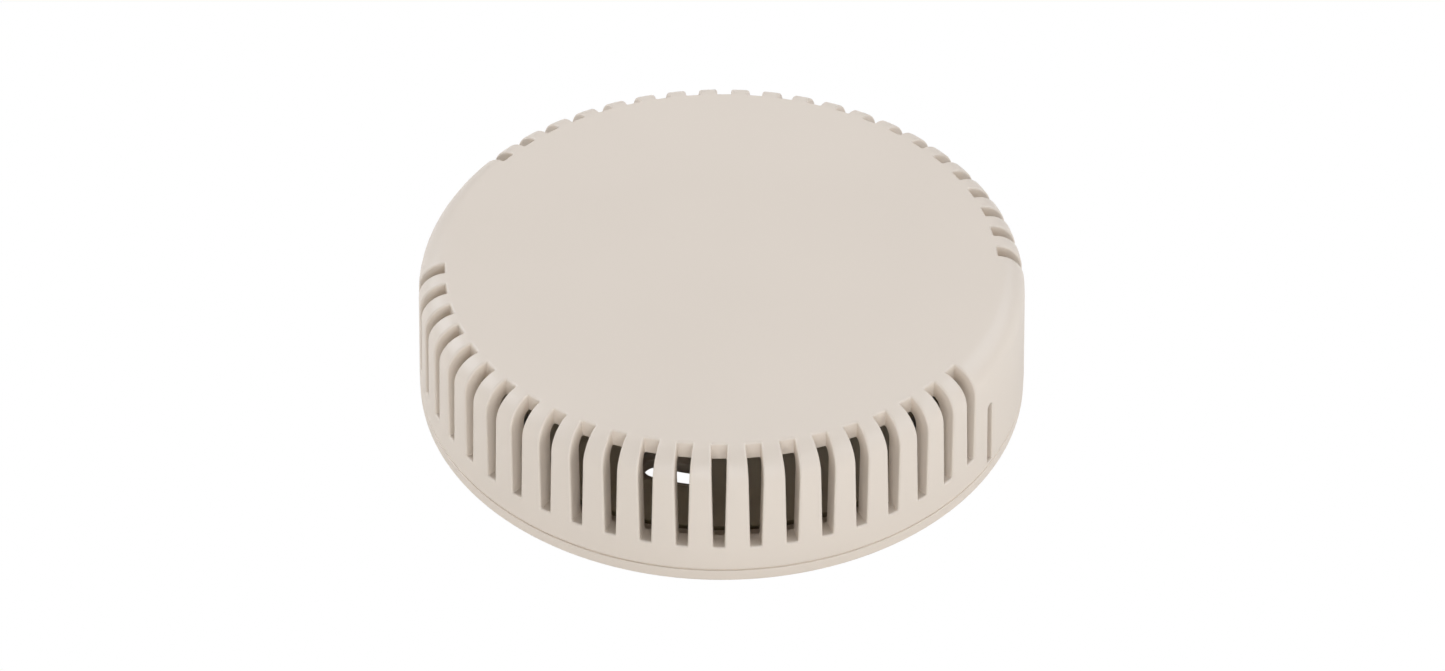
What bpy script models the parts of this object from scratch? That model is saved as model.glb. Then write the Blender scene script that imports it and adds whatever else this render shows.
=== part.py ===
"""Carbon monoxide detector for a ceiling or wall: a slotted moulded cover over a round
base, with a board that carries the gas cell, the terminals and the setting switches.

Metres, +Z up. The origin is the centre of the base's mounting face, which lies on z = 0.
"""

import math

import bmesh
import bpy
from mathutils import Matrix, Vector

MM = 0.001
GAP = 0.3 * MM  # between pieces that touch on the real object

# Case
CASE_RADIUS = 50.0 * MM
CASE_HEIGHT = 24.3 * MM
CASE_SIDES = 108
SEAM_HEIGHT = 2.15 * MM  # top of the base flange, under the seam line
WALL = 3.0 * MM
WALL_DRAFT = 0.7 * MM  # the wall leans in by this much from the seam to its round corner
CORNER_RADIUS = 5.0 * MM
CORNER_STEPS = 5

# Vent slots, on a lattice of 54 places round the case
SLOT_PITCH = 360 / 54
FIRST_SLOT = 182.83  # degrees from +X
SLOTS_IN_GROUP = 22
SLOT_GROUPS = (0, 180)
SLOT_SILL = 6.9 * MM
SLOT_INNER_RADIUS = 44.85 * MM
SLOT_WIDTH_AT_SILL = 1.75 * MM
SLOT_WIDTH_AT_TOP = 2.45 * MM

# Two short slots take a screwdriver tip that frees the cover
RELEASE_SLOT = FIRST_SLOT + SLOTS_IN_GROUP * SLOT_PITCH
RELEASE_WIDTH = 1.5 * MM
RELEASE_FOOT = 3.0 * MM
RELEASE_TOP = 15.0 * MM

# Base
FLOOR = 2.0 * MM
BASE_FOOT_RADIUS = 49.55 * MM
BASE_EDGE = 0.45 * MM
SPIGOT_OUTER = 46.3 * MM
SPIGOT_INNER = 44.6 * MM
SPIGOT_TOP = 6.0 * MM
FIXING_RADIUS = 27.9 * MM
FIXING_WIDTH = 4.2 * MM
FIXING_SPAN = 13.5  # degrees between the end centres of a fixing slot
FIXING_ANGLES = (254.8, 74.8)
CABLE_WIDTH = 18.0 * MM
CABLE_DEPTH = 12.0 * MM
CABLE_CENTRE = Vector((0, -1.0 * MM, 0))
CABLE_CORNER = 3.0 * MM

# Circuit board
BOARD_RADIUS = 43.5 * MM
BOARD_UNDERSIDE = 4.0 * MM
BOARD_THICKNESS = 1.6 * MM
BOARD_TOP = BOARD_UNDERSIDE + BOARD_THICKNESS
ON_BOARD = BOARD_TOP + GAP
BOARD_WINDOW = (11.4 * MM, 11.2 * MM)  # radial and tangential size over a fixing slot
WINDOW_RADIUS = 28.7 * MM
BOARD_SCREW_RADIUS = 38.5 * MM
BOARD_SCREW_ANGLES = (90, 210, 330)
POST_RADIUS = 3.2 * MM
SHANK_RADIUS = 0.95 * MM

# Gas cell
CELL_PLACE = Vector((24 * MM, 4 * MM, 0))
CELL_RADIUS = 7.4 * MM
CELL_FOOT = ON_BOARD + GAP
CELL_CAN_TOP = 16.0 * MM
CELL_CAP_TOP = 18.4 * MM
PIN_RADIUS = 0.5 * MM
PIN_CIRCLE = 5.0 * MM

# Terminal block, four ways
TERMINAL_WAYS = 4
TERMINAL_PITCH = 5.08 * MM
TERMINAL_CENTRE = Vector((0, 9.6 * MM, 0))
TERMINAL_DEPTH = 8.0 * MM
TERMINAL_TOP = ON_BOARD + 10.0 * MM
CHAMBER_WIDTH = 3.8 * MM
CHAMBER_FOOT = ON_BOARD + 0.7 * MM
CHAMBER_TOP = ON_BOARD + 7.3 * MM
WELL_FLOOR = ON_BOARD + 7.9 * MM
CLAMP_HEIGHT = 4.0 * MM
CLAMP_WIDTH = 3.2 * MM
CLAMP_WALL = 0.6 * MM

# Address switch, four ways
SWITCH_WAYS = 4
SWITCH_PITCH = 2.54 * MM
SWITCH_CENTRE = Vector((1.0 * MM, -15.5 * MM, 0))
SWITCH_DEPTH = 6.2 * MM
SWITCH_HEIGHT = 3.0 * MM
SLIDER_TRAVEL = 1.6 * MM
SLIDER_WIDTH = 1.2 * MM

# Trimmers and test switch
TRIMMERS = {"zero_trimmer": (15 * MM, -13 * MM), "span_trimmer": (23.5 * MM, -12 * MM)}
TRIMMER_SIDE = 6.8 * MM
TRIMMER_HEIGHT = 4.4 * MM
TRIMMER_WELL = 2.3 * MM
TEST_PLACE = Vector((-15 * MM, -15 * MM, 0))
TEST_SIDE = 6.0 * MM
TEST_HEIGHT = 3.5 * MM
PLUNGER_RADIUS = 1.6 * MM


def material(name, colour, roughness, metallic=0.0):
    """A Principled material. The colour is linear red, green and blue."""
    made = bpy.data.materials.new(name)
    made.use_nodes = True
    shader = made.node_tree.nodes["Principled BSDF"]
    shader.inputs["Base Color"].default_value = (*colour, 1)
    shader.inputs["Roughness"].default_value = roughness
    shader.inputs["Metallic"].default_value = metallic
    made.diffuse_color = (*colour, 1)
    return made


def finish(shape, name, finish_material=None, place=(0, 0, 0)):
    """Makes an object of a bmesh, with its faces out and its round sides smooth."""
    bmesh.ops.remove_doubles(shape, verts=shape.verts, dist=1e-7)
    bmesh.ops.recalc_face_normals(shape, faces=shape.faces)
    mesh = bpy.data.meshes.new(name)
    shape.to_mesh(mesh)
    shape.free()
    mesh.shade_smooth()
    mesh.set_sharp_from_angle(angle=math.radians(35))
    if finish_material:
        mesh.materials.append(finish_material)
    made = bpy.data.objects.new(name, mesh)
    made.location = place
    bpy.context.scene.collection.objects.link(made)
    return made


def boolean(target, tool, operation="DIFFERENCE"):
    """Cuts a tool from a piece, or joins it on. The tool itself is no piece."""
    tool.hide_render = True
    tool.display_type = "WIRE"
    modifier = target.modifiers.new(tool.name, "BOOLEAN")
    modifier.operation = operation
    modifier.object = tool
    return target


def turned(profile, sides):
    """A bmesh turned round Z from (radius, height) points that start and end on the axis."""
    shape = bmesh.new()
    points = [shape.verts.new((radius, 0, height)) for radius, height in profile]
    edges = [shape.edges.new(pair) for pair in zip(points, points[1:])]
    bmesh.ops.spin(
        shape,
        geom=points + edges,
        cent=(0, 0, 0),
        axis=(0, 0, 1),
        angle=2 * math.pi,
        steps=sides,
        use_merge=True,
    )
    return shape


def arc(centre, radius, start, end, steps):
    """Points on an arc, from one angle to another in degrees."""
    angles = [math.radians(start + (end - start) * i / steps) for i in range(steps + 1)]
    return [
        (centre[0] + radius * math.cos(a), centre[1] + radius * math.sin(a)) for a in angles
    ]


def rounded_rectangle(width, depth, corner, steps=3):
    """The outline of a rectangle with round corners, about the origin."""
    x, y = width / 2 - corner, depth / 2 - corner
    corners = ((x, y, 0), (-x, y, 90), (-x, -y, 180), (x, -y, 270))
    return [
        point
        for cx, cy, start in corners
        for point in arc((cx, cy), corner, start, start + 90, steps)
    ]


def extruded(outline, low, high, shape=None):
    """A bmesh with a flat outline drawn up from one height to another."""
    shape = shape or bmesh.new()
    face = shape.faces.new([shape.verts.new((x, y, low)) for x, y in outline])
    drawn = bmesh.ops.extrude_face_region(shape, geom=[face], use_keep_orig=True)
    top = [item for item in drawn["geom"] if isinstance(item, bmesh.types.BMVert)]
    bmesh.ops.translate(shape, verts=top, vec=(0, 0, high - low))
    return shape


def block(low, high, shape=None):
    """A bmesh box between two corners."""
    shape = shape or bmesh.new()
    low, high = Vector(low), Vector(high)
    size = Matrix.Diagonal((*(high - low), 1))
    middle = Matrix.Translation((low + high) / 2)
    bmesh.ops.create_cube(shape, size=1, matrix=middle @ size)
    return shape


def rounded(shape, width, edges=None, steps=1):
    """Bevels all the edges of a bmesh, or those given."""
    bmesh.ops.bevel(
        shape,
        geom=edges or list(shape.edges),
        offset=width,
        affect="EDGES",
        segments=steps,
        profile=0.5,
        material=-1,
    )
    return shape


def rod(radius, low, high, sides=12, shape=None, place=(0, 0)):
    """A bmesh cylinder that stands between two heights."""
    shape = shape or bmesh.new()
    middle = Matrix.Translation((place[0], place[1], (low + high) / 2))
    bmesh.ops.create_cone(
        shape,
        cap_ends=True,
        segments=sides,
        radius1=radius,
        radius2=radius,
        depth=high - low,
        matrix=middle,
    )
    return shape


def on_circle(radius, degrees):
    """A place at an angle round the case."""
    angle = math.radians(degrees)
    return Vector((radius * math.cos(angle), radius * math.sin(angle), 0))


def wall_radius(height):
    """The outer radius of the cover's leaning wall."""
    foot = SEAM_HEIGHT + GAP
    lean = (height - foot) / (CASE_HEIGHT - CORNER_RADIUS - foot)
    return CASE_RADIUS - WALL_DRAFT * lean


def cover_shell():
    """The cover before it is slotted: a lid with a leaning wall and a round corner."""
    foot = SEAM_HEIGHT + GAP
    shoulder = CASE_HEIGHT - CORNER_RADIUS
    corner = wall_radius(shoulder) - CORNER_RADIUS
    outer = arc((corner, shoulder), CORNER_RADIUS, 90, 0, CORNER_STEPS)
    inner = arc((corner, shoulder), CORNER_RADIUS - WALL, 0, 90, 2)
    profile = [(0, CASE_HEIGHT), *outer, (wall_radius(foot), foot)]
    profile += [(wall_radius(foot) - WALL, foot), *inner, (0, CASE_HEIGHT - WALL)]
    return turned(profile, CASE_SIDES)


def slot_cutter():
    """One tapered tool for each vent slot, all in one mesh."""
    shape = bmesh.new()
    high = CASE_HEIGHT + 2 * MM
    taper = (SLOT_WIDTH_AT_TOP - SLOT_WIDTH_AT_SILL) / (CASE_HEIGHT - SLOT_SILL)
    top_width = SLOT_WIDTH_AT_SILL + taper * (high - SLOT_SILL)
    for group in SLOT_GROUPS:
        for index in range(SLOTS_IN_GROUP):
            angle = math.radians(FIRST_SLOT + group + index * SLOT_PITCH)
            turn = Matrix.Rotation(angle, 4, "Z")
            half = SLOT_WIDTH_AT_SILL / 2
            low_corner = (SLOT_INNER_RADIUS, -half, SLOT_SILL)
            high_corner = (CASE_RADIUS + 2 * MM, half, high)
            known = set(shape.verts)
            block(low_corner, high_corner, shape)
            tool = [vert for vert in shape.verts if vert not in known]
            for vert in tool:
                if vert.co.z > CASE_HEIGHT:
                    vert.co.y *= top_width / SLOT_WIDTH_AT_SILL
            bmesh.ops.transform(shape, verts=tool, matrix=turn)
    return finish(shape, "vent_slot_cutter")


def release_cutter():
    """The two short slots, square at the foot and round at the top."""
    shape = bmesh.new()
    half = RELEASE_WIDTH / 2
    for group in SLOT_GROUPS:
        top = arc((0, RELEASE_TOP - half), half, 0, 180, 4)
        outline = [(-half, RELEASE_FOOT), (half, RELEASE_FOOT), *top]
        known = set(shape.verts)
        extruded(outline, SLOT_INNER_RADIUS, CASE_RADIUS + 2 * MM, shape)
        tool = [vert for vert in shape.verts if vert not in known]
        # The outline's second axis becomes Z and its extrusion the radius.
        upright = Matrix(((0, 0, 1, 0), (1, 0, 0, 0), (0, 1, 0, 0), (0, 0, 0, 1)))
        angle = math.radians(RELEASE_SLOT + group)
        bmesh.ops.transform(
            shape, verts=tool, matrix=Matrix.Rotation(angle, 4, "Z") @ upright
        )
    return finish(shape, "release_slot_cutter")


def make_cover(plastic):
    cover = finish(cover_shell(), "cover", plastic)
    boolean(cover, slot_cutter())
    return boolean(cover, release_cutter())


def fixing_slot_outline(angle):
    """An arc-shaped slot about the case's centre, for a fixing screw."""
    half = FIXING_WIDTH / 2
    start, end = angle - FIXING_SPAN / 2, angle + FIXING_SPAN / 2
    outer = arc((0, 0), FIXING_RADIUS + half, start, end, 4)
    inner = arc((0, 0), FIXING_RADIUS - half, end, start, 4)
    far = on_circle(FIXING_RADIUS, end)
    near = on_circle(FIXING_RADIUS, start)
    far_end = arc((far.x, far.y), half, end, end + 180, 5)[1:-1]
    near_end = arc((near.x, near.y), half, start + 180, start + 360, 5)[1:-1]
    return outer + far_end + inner + near_end


def cable_outline():
    """The outline of the opening that the wiring comes through."""
    outline = rounded_rectangle(CABLE_WIDTH, CABLE_DEPTH, CABLE_CORNER)
    return [(x + CABLE_CENTRE.x, y + CABLE_CENTRE.y) for x, y in outline]


def make_base(plastic):
    edge = arc((BASE_FOOT_RADIUS, BASE_EDGE), BASE_EDGE, -90, 0, 2)
    profile = [(0, 0), *edge, (CASE_RADIUS, SEAM_HEIGHT), (SPIGOT_OUTER, SEAM_HEIGHT)]
    profile += [(SPIGOT_OUTER, SPIGOT_TOP), (SPIGOT_INNER, SPIGOT_TOP)]
    profile += [(SPIGOT_INNER, FLOOR), (0, FLOOR)]
    base = finish(turned(profile, CASE_SIDES), "base_plate", plastic)

    posts = bmesh.new()
    pilots = bmesh.new()
    for angle in BOARD_SCREW_ANGLES:
        place = on_circle(BOARD_SCREW_RADIUS, angle)
        rod(POST_RADIUS, FLOOR / 2, BOARD_UNDERSIDE - GAP, 16, posts, place)
        rod(SHANK_RADIUS + GAP, FLOOR / 2, BOARD_UNDERSIDE, 12, pilots, place)
    boolean(base, finish(posts, "board_posts"), "UNION")
    boolean(base, finish(pilots, "pilot_cutter"))

    openings = extruded(cable_outline(), -MM, FLOOR + MM)
    for angle in FIXING_ANGLES:
        extruded(fixing_slot_outline(angle), -MM, FLOOR + MM, openings)
    return boolean(base, finish(openings, "base_opening_cutter"))


def cell_pin_places():
    return [CELL_PLACE + on_circle(PIN_CIRCLE, angle) for angle in (90, 210, 330)]


def make_board(laminate):
    board = finish(rod(BOARD_RADIUS, BOARD_UNDERSIDE, BOARD_TOP, 72), "circuit_board", laminate)
    low, high = BOARD_UNDERSIDE - MM, BOARD_TOP + MM
    openings = extruded(cable_outline(), low, high)
    for angle in FIXING_ANGLES:
        turn = Matrix.Rotation(math.radians(angle), 2)
        outline = [
            turn @ Vector((x + WINDOW_RADIUS, y))
            for x, y in rounded_rectangle(*BOARD_WINDOW, 2 * MM)
        ]
        extruded(outline, low, high, openings)
    for angle in BOARD_SCREW_ANGLES:
        place = on_circle(BOARD_SCREW_RADIUS, angle)
        rod(SHANK_RADIUS + GAP, low, high, 12, openings, place)
    for place in cell_pin_places():
        rod(PIN_RADIUS + GAP, low, high, 8, openings, place)
    return boolean(board, finish(openings, "board_opening_cutter"))


def cross_outline(reach, half_width):
    """The outline of a plus sign, arm by arm."""
    arm = [(half_width, half_width), (reach, half_width), (reach, -half_width)]
    quarter_turns = [Matrix.Rotation(-quarter * math.pi / 2, 2) for quarter in range(4)]
    return [turn @ Vector(point) for turn in quarter_turns for point in arm]


def make_board_screws(steel):
    """Pan-head screws with a cross-shaped recess, one on each post."""
    head_top = ON_BOARD + 1.5 * MM
    profile = [(0, FLOOR / 2 + GAP), (SHANK_RADIUS, FLOOR / 2 + GAP), (SHANK_RADIUS, ON_BOARD)]
    profile += [(2.2 * MM, ON_BOARD), (2.2 * MM, ON_BOARD + 0.6 * MM), (1.5 * MM, head_top)]
    profile += [(0, head_top)]
    for number, angle in enumerate(BOARD_SCREW_ANGLES, 1):
        place = on_circle(BOARD_SCREW_RADIUS, angle)
        screw = finish(turned(profile, 16), f"board_screw_{number}", steel, place)
        cross = extruded(cross_outline(1.1 * MM, 0.25 * MM), head_top - 0.7 * MM, head_top + MM)
        boolean(screw, finish(cross, f"screw_recess_cutter_{number}", None, place))


def make_cell(can_plastic, cap_plastic, membrane, gold):
    """The gas cell: a can on three pins, a cap with a gas port, and a filter in the cap."""
    waist = CELL_RADIUS - 0.6 * MM
    groove = CELL_CAN_TOP - 2.2 * MM
    profile = [(0, CELL_FOOT), (CELL_RADIUS - 0.4 * MM, CELL_FOOT)]
    profile += [(CELL_RADIUS, CELL_FOOT + 0.4 * MM), (CELL_RADIUS, groove)]
    profile += [(waist, groove + 0.4 * MM), (waist, CELL_CAN_TOP), (0, CELL_CAN_TOP)]
    finish(turned(profile, 28), "cell_can", can_plastic, CELL_PLACE)

    cap_foot = CELL_CAN_TOP + GAP
    seat = CELL_CAP_TOP - 1.2 * MM
    seat_radius = 4.6 * MM
    profile = [(0, cap_foot), (CELL_RADIUS, cap_foot), (CELL_RADIUS, CELL_CAP_TOP - 0.5 * MM)]
    profile += [(CELL_RADIUS - 0.5 * MM, CELL_CAP_TOP), (seat_radius, CELL_CAP_TOP)]
    profile += [(seat_radius, seat), (1.25 * MM, seat), (1.25 * MM, cap_foot + 0.5 * MM)]
    profile += [(0, cap_foot + 0.5 * MM)]
    finish(turned(profile, 28), "cell_cap", cap_plastic, CELL_PLACE)

    disc = rod(seat_radius - GAP, seat + GAP, CELL_CAP_TOP - 0.3 * MM, 24)
    finish(disc, "cell_filter", membrane, CELL_PLACE)
    for number, place in enumerate(cell_pin_places(), 1):
        pin = rod(PIN_RADIUS, FLOOR + 0.8 * MM, CELL_FOOT - GAP, 8)
        finish(pin, f"cell_pin_{number}", gold, place)


def terminal_places():
    first = -(TERMINAL_WAYS - 1) / 2
    step = Vector((TERMINAL_PITCH, 0, 0))
    return [TERMINAL_CENTRE + (first + way) * step for way in range(TERMINAL_WAYS)]


def make_terminal_body(green_plastic):
    half_length = TERMINAL_WAYS * TERMINAL_PITCH / 2
    half_depth = TERMINAL_DEPTH / 2
    body = block(
        (-half_length, -half_depth, ON_BOARD), (half_length, half_depth, TERMINAL_TOP)
    )
    top_edges = [
        edge for edge in body.edges if all(v.co.z > ON_BOARD + MM for v in edge.verts)
    ]
    rounded(body, 0.8 * MM, top_edges)
    made = finish(body, "terminal_block", green_plastic, TERMINAL_CENTRE)

    hollow = bmesh.new()
    half = CHAMBER_WIDTH / 2
    for place in terminal_places():
        x = place.x - TERMINAL_CENTRE.x
        low = (x - half, -half_depth - MM, CHAMBER_FOOT)
        block(low, (x + half, 2.2 * MM, CHAMBER_TOP), hollow)
    boolean(made, finish(hollow, "chamber_cutter", None, TERMINAL_CENTRE))
    wells = bmesh.new()
    for place in terminal_places():
        x = place.x - TERMINAL_CENTRE.x
        rod(1.35 * MM, CHAMBER_TOP - MM, WELL_FLOOR + MM, 12, wells, (x, 0))
    boolean(made, finish(wells, "screw_way_cutter", None, TERMINAL_CENTRE))
    heads = bmesh.new()
    for place in terminal_places():
        x = place.x - TERMINAL_CENTRE.x
        rod(2.05 * MM, WELL_FLOOR, TERMINAL_TOP + MM, 16, heads, (x, 0))
    return boolean(made, finish(heads, "screw_well_cutter", None, TERMINAL_CENTRE))


def make_terminal_screw(number, place, steel):
    """A captive screw with a straight slot across its head."""
    head_foot = WELL_FLOOR + GAP
    head_top = head_foot + 1.4 * MM
    tip = CHAMBER_FOOT + CLAMP_HEIGHT - 1.4 * MM
    profile = [(0, tip), (1.0 * MM, tip), (1.0 * MM, head_foot), (1.75 * MM, head_foot)]
    profile += [(1.75 * MM, head_top - 0.2 * MM), (1.55 * MM, head_top), (0, head_top)]
    screw = finish(turned(profile, 16), f"terminal_screw_{number}", steel, place)
    low = (-2.5 * MM, -0.3 * MM, head_top - 0.6 * MM)
    slot = block(low, (2.5 * MM, 0.3 * MM, head_top + MM))
    return boolean(screw, finish(slot, f"screw_slot_cutter_{number}", None, place))


def make_terminal_clamp(number, place, brass):
    """A square cage that the screw draws up against the wire. Its top has a clear hole
    that stands in for the thread."""
    half = CLAMP_WIDTH / 2
    low, high = CHAMBER_FOOT + GAP, CHAMBER_FOOT + GAP + CLAMP_HEIGHT
    cage = finish(
        block((-half, -half, low), (half, half, high)), f"terminal_clamp_{number}", brass, place
    )
    window = half - CLAMP_WALL
    way = block(
        (-window, -half - MM, low + CLAMP_WALL), (window, half + MM, high - CLAMP_WALL)
    )
    boolean(cage, finish(way, f"clamp_window_cutter_{number}", None, place))
    thread = rod(1.3 * MM, high - 2 * CLAMP_WALL, high + MM, 12)
    return boolean(cage, finish(thread, f"clamp_thread_cutter_{number}", None, place))


def make_terminals(green_plastic, steel, brass):
    make_terminal_body(green_plastic)
    for number, place in enumerate(terminal_places(), 1):
        make_terminal_screw(number, place, steel)
        make_terminal_clamp(number, place, brass)


def make_relay(black_plastic):
    case = block((-7.7 * MM, -3.9 * MM, ON_BOARD), (7.7 * MM, 3.9 * MM, ON_BOARD + 10 * MM))
    finish(rounded(case, 0.5 * MM), "relay", black_plastic, (-12.5 * MM, 20.5 * MM, 0))


def make_sounder(black_plastic):
    """A round sounder with a sound port in its lid."""
    high = ON_BOARD + 6.5 * MM
    radius = 6.0 * MM
    profile = [(0, ON_BOARD), (radius, ON_BOARD), (radius, high - 0.5 * MM)]
    profile += [(radius - 0.5 * MM, high), (1.2 * MM, high), (1.2 * MM, high - 2.5 * MM)]
    profile += [(0, high - 2.5 * MM)]
    finish(turned(profile, 28), "sounder", black_plastic, (-25 * MM, 7 * MM, 0))


def make_chips(black_plastic):
    """The microcontroller and the voltage regulator, as moulded packages."""
    side = 3.5 * MM
    chip = block((-side, -side, ON_BOARD), (side, side, ON_BOARD + 1.2 * MM))
    place = (-18 * MM, -4.5 * MM, 0)
    finish(rounded(chip, 0.15 * MM), "microcontroller", black_plastic, place)
    case = block((-3.3 * MM, -1.8 * MM, ON_BOARD), (3.3 * MM, 1.8 * MM, ON_BOARD + 1.8 * MM))
    finish(rounded(case, 0.2 * MM), "regulator", black_plastic, (-29.5 * MM, -7 * MM, 0))


def make_capacitors(sleeve):
    """Two upright electrolytic capacitors with the roll groove near the foot."""
    radius = 3.15 * MM
    high = ON_BOARD + 7.7 * MM
    waist = radius - 0.3 * MM
    profile = [(0, ON_BOARD), (radius, ON_BOARD), (radius, ON_BOARD + 1.0 * MM)]
    profile += [(waist, ON_BOARD + 1.3 * MM), (radius, ON_BOARD + 1.6 * MM)]
    profile += [(radius, high - 0.3 * MM), (radius - 0.3 * MM, high), (0, high)]
    for number, place in enumerate(((19, 17), (27, 16.5)), 1):
        where = (place[0] * MM, place[1] * MM, 0)
        finish(turned(profile, 20), f"capacitor_{number}", sleeve, where)


def make_led(lens):
    """The status lamp, a 3 mm dome on a flange."""
    radius = 1.5 * MM
    shoulder = ON_BOARD + 3.2 * MM
    profile = [(0, ON_BOARD), (1.85 * MM, ON_BOARD), (1.85 * MM, ON_BOARD + 0.8 * MM)]
    profile += [(radius, ON_BOARD + 0.8 * MM)]
    profile += arc((0, shoulder), radius, 0, 90, 4)[:-1] + [(0, shoulder + radius)]
    finish(turned(profile, 16), "status_lamp", lens, (-25 * MM, -15 * MM, 0))


def switch_places():
    first = -(SWITCH_WAYS - 1) / 2
    step = Vector((SWITCH_PITCH, 0, 0))
    return [SWITCH_CENTRE + (first + way) * step for way in range(SWITCH_WAYS)]


def make_address_switch(red_plastic, white_plastic):
    """A low switch block with a slider in a well for each way."""
    half_length = SWITCH_WAYS * SWITCH_PITCH / 2 + 0.6 * MM
    half_depth = SWITCH_DEPTH / 2
    top = ON_BOARD + SWITCH_HEIGHT
    body = block((-half_length, -half_depth, ON_BOARD), (half_length, half_depth, top))
    rounded(body, 0.2 * MM)
    made = finish(body, "address_switch", red_plastic, SWITCH_CENTRE)
    well_floor = top - 1.5 * MM
    half_slider = SLIDER_WIDTH / 2
    half_well = half_slider + SLIDER_TRAVEL / 2 + GAP
    wells = bmesh.new()
    for place in switch_places():
        x = place.x - SWITCH_CENTRE.x
        low = (x - half_slider - GAP, -half_well, well_floor)
        block(low, (x + half_slider + GAP, half_well, top + MM), wells)
    boolean(made, finish(wells, "slider_well_cutter", None, SWITCH_CENTRE))
    for number, place in enumerate(switch_places(), 1):
        rest = place - Vector((0, SLIDER_TRAVEL / 2, 0))
        low = (-half_slider, -half_slider, well_floor + GAP)
        slider = block(low, (half_slider, half_slider, top + 0.4 * MM))
        finish(rounded(slider, 0.12 * MM), f"address_slider_{number}", white_plastic, rest)


def make_trimmer(name, place, blue_plastic, white_plastic):
    """A square trimmer with a slotted rotor in a round well."""
    half = TRIMMER_SIDE / 2
    top = ON_BOARD + TRIMMER_HEIGHT
    body = block((-half, -half, ON_BOARD), (half, half, top))
    where = (*place, 0)
    made = finish(rounded(body, 0.25 * MM), f"{name}_body", blue_plastic, where)
    well_floor = top - 1.6 * MM
    well = rod(TRIMMER_WELL, well_floor, top + MM, 20)
    boolean(made, finish(well, f"{name}_well_cutter", None, where))
    radius = TRIMMER_WELL - GAP
    profile = [(0, well_floor + GAP), (radius, well_floor + GAP), (radius, top - 0.1 * MM)]
    profile += [(radius - 0.2 * MM, top + 0.1 * MM), (0, top + 0.1 * MM)]
    rotor = finish(turned(profile, 20), f"{name}_rotor", white_plastic, where)
    slot = block((-3 * MM, -0.3 * MM, top - 0.7 * MM), (3 * MM, 0.3 * MM, top + MM))
    boolean(rotor, finish(slot, f"{name}_slot_cutter", None, where))


def make_test_switch(steel, black_plastic):
    """A square push switch whose plunger works in a well in its top plate."""
    half = TEST_SIDE / 2
    top = ON_BOARD + TEST_HEIGHT
    body = block((-half, -half, ON_BOARD), (half, half, top))
    made = finish(rounded(body, 0.25 * MM), "test_switch_body", steel, TEST_PLACE)
    well_floor = top - 1.8 * MM
    well = rod(PLUNGER_RADIUS + GAP, well_floor, top + MM, 16)
    boolean(made, finish(well, "plunger_well_cutter", None, TEST_PLACE))
    foot = well_floor + 0.7 * MM
    high = top + 1.5 * MM
    profile = [(0, foot), (PLUNGER_RADIUS, foot), (PLUNGER_RADIUS, high - 0.2 * MM)]
    profile += [(PLUNGER_RADIUS - 0.2 * MM, high), (0, high)]
    finish(turned(profile, 16), "test_switch_plunger", black_plastic, TEST_PLACE)


def clear_scene():
    for item in list(bpy.data.objects):
        bpy.data.objects.remove(item, do_unlink=True)


def main():
    clear_scene()
    beige = material("moulded_abs", (0.72, 0.63, 0.53), 0.42)
    laminate = material("board_laminate", (0.53, 0.46, 0.34), 0.55)
    steel = material("zinc_steel", (0.60, 0.60, 0.58), 0.3, 1.0)
    brass = material("terminal_brass", (0.75, 0.58, 0.28), 0.3, 1.0)
    gold = material("gold_pin", (0.83, 0.62, 0.25), 0.25, 1.0)
    black = material("black_plastic", (0.015, 0.015, 0.015), 0.5)
    green = material("terminal_green", (0.02, 0.16, 0.07), 0.4)
    red = material("switch_red", (0.35, 0.02, 0.02), 0.45)
    blue = material("trimmer_blue", (0.03, 0.12, 0.42), 0.4)
    white = material("white_plastic", (0.75, 0.75, 0.72), 0.4)
    membrane = material("filter_membrane", (0.85, 0.85, 0.83), 0.9)
    sleeve = material("capacitor_sleeve", (0.02, 0.02, 0.05), 0.35)
    lens = material("lamp_lens", (0.05, 0.55, 0.12), 0.2)

    make_cover(beige)
    make_base(beige)
    make_board(laminate)
    make_board_screws(steel)
    make_cell(black, white, membrane, gold)
    make_terminals(green, steel, brass)
    make_relay(black)
    make_sounder(black)
    make_chips(black)
    make_capacitors(sleeve)
    make_led(lens)
    make_address_switch(red, white)
    for name, place in TRIMMERS.items():
        make_trimmer(name, place, blue, white)
    make_test_switch(steel, black)


main()
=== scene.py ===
import functools
import math

import bmesh
import bpy
from mathutils import Matrix, Vector


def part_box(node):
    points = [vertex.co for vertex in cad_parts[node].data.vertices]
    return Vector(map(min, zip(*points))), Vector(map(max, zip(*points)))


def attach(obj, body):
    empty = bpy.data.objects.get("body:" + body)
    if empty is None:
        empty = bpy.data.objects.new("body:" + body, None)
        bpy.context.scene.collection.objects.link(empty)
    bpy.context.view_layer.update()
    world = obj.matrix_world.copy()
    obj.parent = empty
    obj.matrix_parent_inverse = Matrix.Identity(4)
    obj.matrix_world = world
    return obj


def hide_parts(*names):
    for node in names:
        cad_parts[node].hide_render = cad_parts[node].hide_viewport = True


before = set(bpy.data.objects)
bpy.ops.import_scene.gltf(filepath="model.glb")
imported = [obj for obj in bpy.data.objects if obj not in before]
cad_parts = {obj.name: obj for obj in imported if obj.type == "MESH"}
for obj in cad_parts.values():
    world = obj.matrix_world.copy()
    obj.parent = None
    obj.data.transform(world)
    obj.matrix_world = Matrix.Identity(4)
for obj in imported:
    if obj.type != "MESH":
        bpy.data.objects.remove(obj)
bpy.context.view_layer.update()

MM = 0.001
NEAR = 0.01 * MM

# Stage. The room is dim, and the softboxes carry the light.
ROOM_LIGHT = 0.08
LAMP_TINT = "#f3f7ff"
LAMP_DISTANCE = 1.2
LAMP_SIZE = 0.9
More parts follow.
